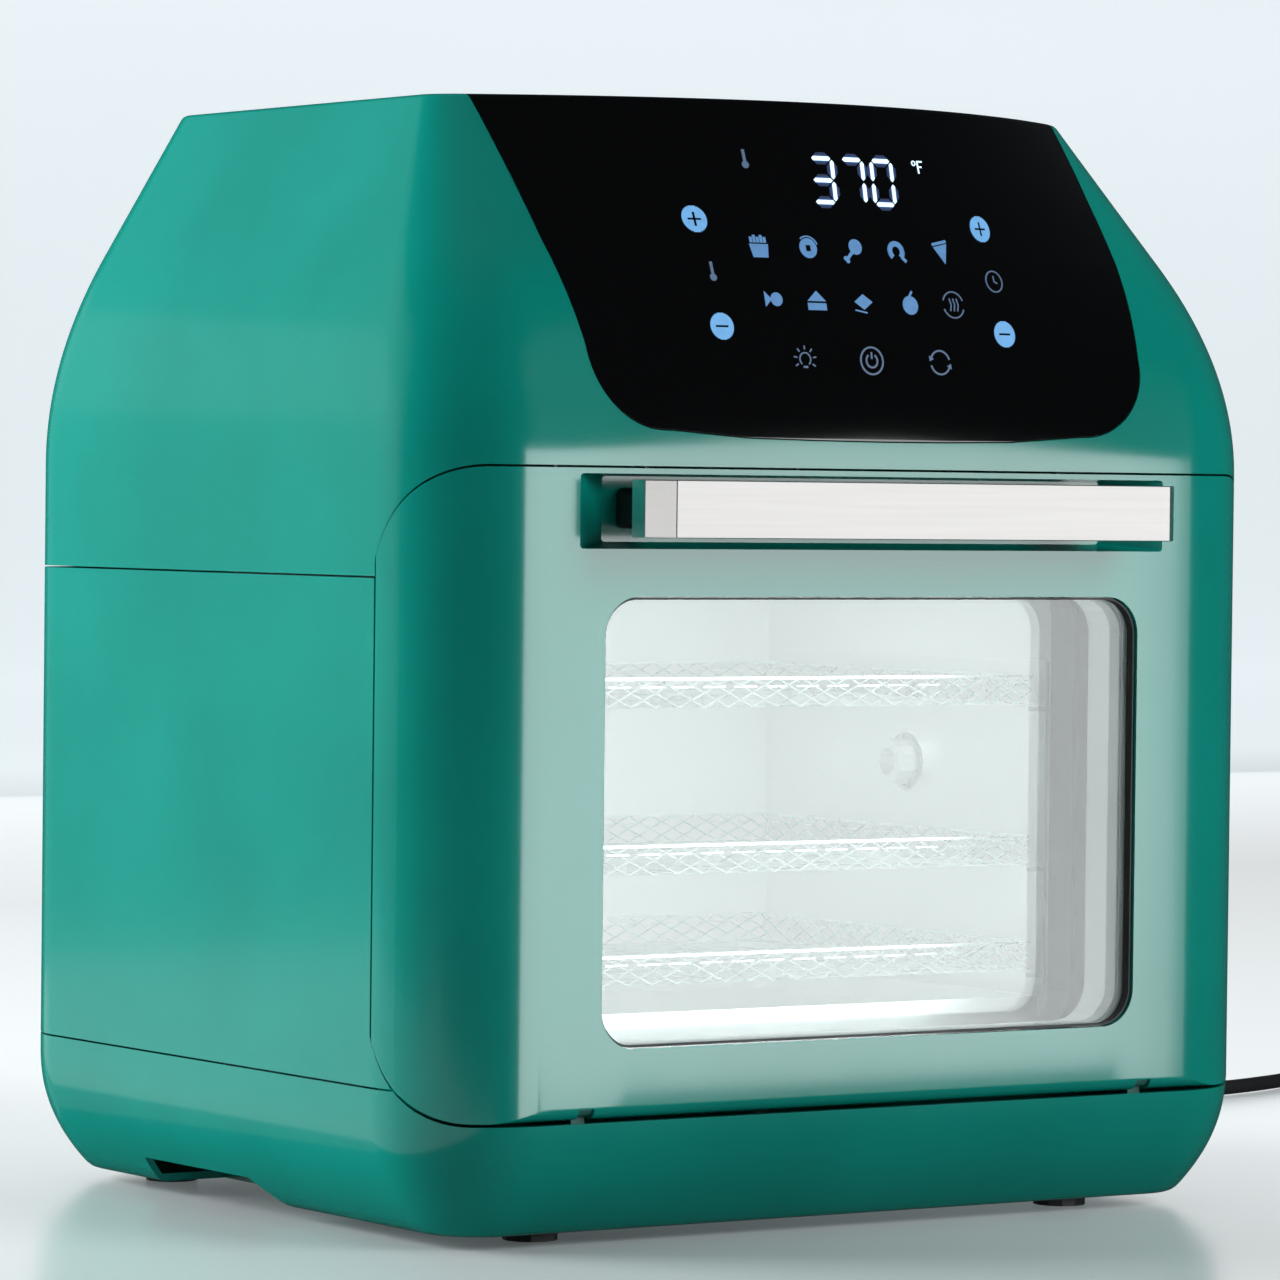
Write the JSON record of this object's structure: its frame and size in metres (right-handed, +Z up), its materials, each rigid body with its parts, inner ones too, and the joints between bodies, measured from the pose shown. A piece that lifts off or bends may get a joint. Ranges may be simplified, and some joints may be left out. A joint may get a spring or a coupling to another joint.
{
  "type": "air fryer toaster oven",
  "caption": "Tall countertop air-fryer oven with rounded body, tapered hood with touch panel, drop-down windowed door with bar handle, racks inside, and a mains lead.",
  "frame": {"origin": "on the table under the middle of the oven, halfway between the front of the handle and the rear face", "axes": "+X to the right of someone facing the door, +Y from the door to the rear, +Z up"},
  "size_m": [0.6976, 0.3952, 0.352],
  "materials": {
    "green_plastic": "gloss moulded plastic, deep teal green",
    "black_gloss": "black high-gloss panel with printed light-blue touch symbols",
    "black_plastic": "black moulded plastic",
    "rubber": "black rubber",
    "silicone": "grey silicone",
    "satin_aluminium": "satin aluminium",
    "stainless": "bright stainless steel",
    "enamel_grey": "pale grey coated sheet",
    "glass": "clear tempered glass",
    "heater_steel": "dark heater sheath",
    "board_green": "printed circuit board",
    "ceramic_white": "white ceramic or plastic",
    "copper": "motor body with copper winding"
  },
  "bodies": {
    "root": {"base_shell": "green_plastic", "hood_shell": "green_plastic", "side_panel_left": "green_plastic", "side_panel_right": "green_plastic", "rear_cover": "green_plastic", "top_cover": "green_plastic", "control_panel": "black_gloss", "foot_front_left": "rubber", "foot_front_right": "rubber", "foot_rear_left": "rubber", "foot_rear_right": "rubber", "front_frame": "black_plastic", "oven_cavity": "enamel_grey", "cavity_back": "enamel_grey", "cavity_ceiling": "enamel_grey", "rack_support_left": "stainless", "rack_support_right": "stainless", "cooking_rack_top": "stainless", "cooking_rack_middle": "stainless", "cooking_rack_bottom": "stainless", "drip_tray": "stainless", "heater_guard": "stainless", "air_duct": "stainless", "heating_element": "heater_steel", "motor_bracket": "stainless", "fan_motor": "copper", "rotisserie_motor": "black_plastic", "spindle_holder": "stainless", "control_board": "board_green", "display_module": "black_plastic", "power_board": "board_green", "latch_magnet": "black_plastic", "oven_lamp": "ceramic_white", "lamp_cover": "glass", "temperature_sensor": "stainless", "door_switch": "black_plastic", "hinge_bracket_left": "green_plastic", "hinge_bracket_right": "green_plastic", "strain_relief": "rubber", "power_cord": "rubber", "cord_coil": "rubber", "cord_end": "rubber", "plug": "rubber"},
    "door": {"door_shell": "green_plastic", "door_inner_frame": "enamel_grey", "outer_glass": "glass", "inner_glass": "glass", "door_seal": "silicone", "window_gasket": "rubber", "door_strike": "stainless", "handle_bar": "satin_aluminium", "handle_post_left": "black_plastic", "handle_post_right": "black_plastic", "hinge_pin_left": "stainless", "hinge_pin_right": "stainless"},
    "fan_rotor": {"motor_shaft": "stainless", "circulation_fan": "stainless", "cooling_fan": "black_plastic"},
    "rotisserie_drive": {"rotisserie_socket": "stainless"},
    "switch_plunger": {"door_switch_plunger": "ceramic_white"}
  },
  "joints": [
    {"name": "door_hinge", "type": "hinge", "parent": "root", "child": "door", "pos_m": [0, -0.118, 0.044], "axis": [1, 0, 0], "range_deg": [0, 90]},
    {"name": "fan_spin", "type": "hinge", "parent": "root", "child": "fan_rotor", "pos_m": [0, 0.011, 0.25], "axis": [0, 0, 1], "continuous": true},
    {"name": "rotisserie_spin", "type": "hinge", "parent": "root", "child": "rotisserie_drive", "pos_m": [0.105, 0.011, 0.14], "axis": [1, 0, 0], "continuous": true},
    {"name": "switch_travel", "type": "slide", "parent": "root", "child": "switch_plunger", "axis": [0, -1, 0], "range_m": [0, 0.003]}
  ],
  "couplings": [
    {"joint": "switch_travel", "follows": "door_hinge", "m_per_rad": 0.0019099}
  ]
}
